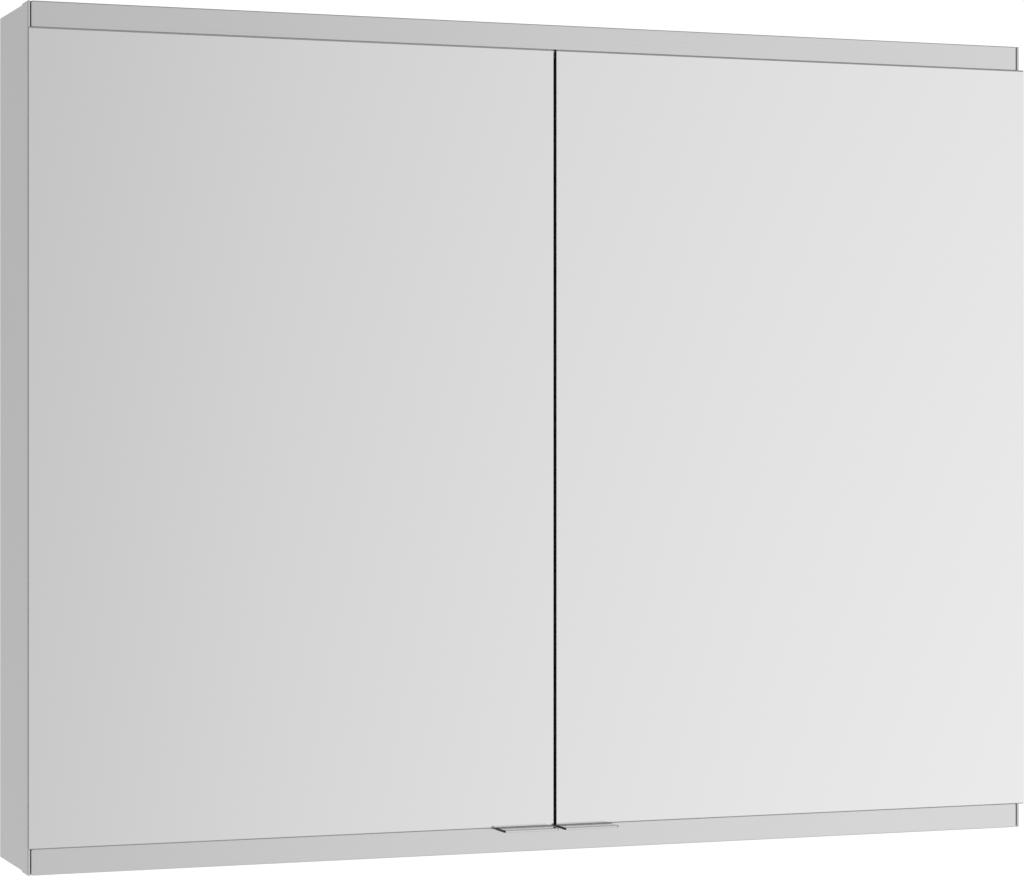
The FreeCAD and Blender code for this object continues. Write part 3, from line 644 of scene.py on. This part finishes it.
def milky_polyurethane(name):
    """Soft polyurethane: light sinks into it a little under a matt, uneven skin."""
    finish, tree = new_finish(name)
    coordinates = add(tree, "ShaderNodeTexCoord")
    skin = add(tree, "ShaderNodeTexNoise", {"Scale": 1 / (0.8 * MM)}, Vector=coordinates.outputs["Object"])
    dull = add(tree, "ShaderNodeMapRange", {"To Min": 0.35, "To Max": 0.5}, Value=skin.outputs["Fac"])
    shader = add(tree, "ShaderNodeBsdfPrincipled", {"Base Color": linear(MILKY), "IOR": 1.5,
                                                    "Subsurface Weight": 0.3}, Roughness=dull.outputs[0])
    add(tree, "ShaderNodeOutputMaterial", Surface=shader.outputs[0])
    return finish


bumpers = islands("door_bumpers")
tall_mm = (bumpers[0][1].y - bumpers[0][0].y) / MM
bumper_profile = [(0, 0), (BUMPER_MM, 0),
                  *arc((BUMPER_MM - BUMPER_ROUND_MM, tall_mm - BUMPER_ROUND_MM), BUMPER_ROUND_MM, 0, 90, 8),
                  (0, tall_mm)]
bumper_places = []
for low, high in bumpers:
    centre = (low + high) / 2
    bumper_places.append((Vector((centre.x, high.y, centre.z)), -Y))
as_piece("bumper_domes", repeated(turned(bumper_profile), bumper_places),
         [milky_polyurethane("milky_polyurethane")], "cabinet", ["door_bumpers"])

# ---------------------------------------------------------------------------
# Studio. A pale floor well below the cabinet, a plain white backdrop, and soft light from all round,
# brighter on the right as beside one large softbox. SWEEP gives the light from left (-1) to right (1),
# and CEILING what of it is left at each height, from level (0) to straight overhead (1).
FLOOR_BELOW, FLOOR_RADIUS = 1.5, 2.6
PAPER, PAPER_GLOW, BACKDROP_GLOW, DIMMER_ABOVE = "F6F6F6", 0.35, 1.05, 0.28
SWEEP = [(-1.0, 0.36), (-0.2, 0.565), (0.2, 0.61), (0.28, 0.705), (0.35, 0.77), (0.42, 0.825), (0.49, 0.87),
         (0.56, 0.9), (0.68, 0.6), (1.0, 0.4)]
CEILING = [(0.3, 1.0), (0.45, 0.4), (0.8, 0.4), (0.93, 0.8)]


def ramp(tree, stops, source):
    """A scale of greys along a value, from pairs of a place and a level."""
    node = add(tree, "ShaderNodeValToRGB", Fac=source)
    while len(node.color_ramp.elements) < len(stops):
        node.color_ramp.elements.new(1.0)
    for stop, (place, level) in zip(node.color_ramp.elements, stops):
        stop.position = place
        stop.color = (level, level, level, 1.0)
    return node.outputs[0]


work = bmesh.new()
bmesh.ops.create_circle(work, cap_ends=True, segments=96, radius=FLOOR_RADIUS)
bmesh.ops.translate(work, vec=-Z * FLOOR_BELOW, verts=work.verts)
floor_mesh = bpy.data.meshes.new("studio_floor")
work.to_mesh(floor_mesh)
work.free()
floor = bpy.data.objects.new("studio_floor", floor_mesh)
bpy.context.collection.objects.link(floor)
paper, tree = new_finish("white_backdrop_paper")
grain = add(tree, "ShaderNodeTexNoise", {"Scale": 400.0})
fibre = add(tree, "ShaderNodeMapRange", {"To Min": 0.85, "To Max": 0.95}, Value=grain.outputs["Fac"])
shader = add(tree, "ShaderNodeBsdfPrincipled", {"Base Color": linear(PAPER),
                                                "Emission Color": linear("FFFFFF"),
                                                "Emission Strength": PAPER_GLOW},
             Roughness=fibre.outputs[0])
add(tree, "ShaderNodeOutputMaterial", Surface=shader.outputs[0])
floor_mesh.materials.append(paper)

world = bpy.data.worlds.new("studio")
bpy.context.scene.world = world
world.use_nodes = True
tree = world.node_tree
tree.nodes.clear()
direction = add(tree, "ShaderNodeTexCoord")
parts = add(tree, "ShaderNodeSeparateXYZ", Vector=direction.outputs["Generated"])
across = add(tree, "ShaderNodeMapRange", {"From Min": -1.0, "From Max": 1.0}, Value=parts.outputs["X"])
sweep = ramp(tree, [((place + 1) / 2, level) for place, level in SWEEP], across.outputs[0])
lift = add(tree, "ShaderNodeMath", {"operation": "MULTIPLY_ADD", 1: -DIMMER_ABOVE, 2: 1.0},
           i0=parts.outputs["Z"])
ceiling = ramp(tree, CEILING, parts.outputs["Z"])
shaped = add(tree, "ShaderNodeMath", {"operation": "MULTIPLY"}, i0=lift.outputs[0], i1=ceiling)
glow = add(tree, "ShaderNodeMath", {"operation": "MULTIPLY"}, i0=sweep, i1=shaped.outputs[0])
studio = add(tree, "ShaderNodeBackground", Color=glow.outputs[0])
white = add(tree, "ShaderNodeBackground", {"Color": (1, 1, 1, 1), "Strength": BACKDROP_GLOW})
path = add(tree, "ShaderNodeLightPath")
seen = add(tree, "ShaderNodeMixShader", i0=path.outputs["Is Camera Ray"], i1=studio.outputs[0],
           i2=white.outputs[0])
add(tree, "ShaderNodeOutputWorld", Surface=seen.outputs[0])

camera = bpy.data.objects.new("camera", bpy.data.cameras.new("camera"))
bpy.context.collection.objects.link(camera)
camera.data.lens = 112.0
camera.data.sensor_width = 36.0
camera.data.shift_y = -0.0095
camera.location = (-0.9746, -2.6429, 0.0078)
camera.rotation_euler = (math.radians(90), 0, -math.radians(20.417))
bpy.context.scene.camera = camera
bpy.context.scene.view_settings.view_transform = "Standard"
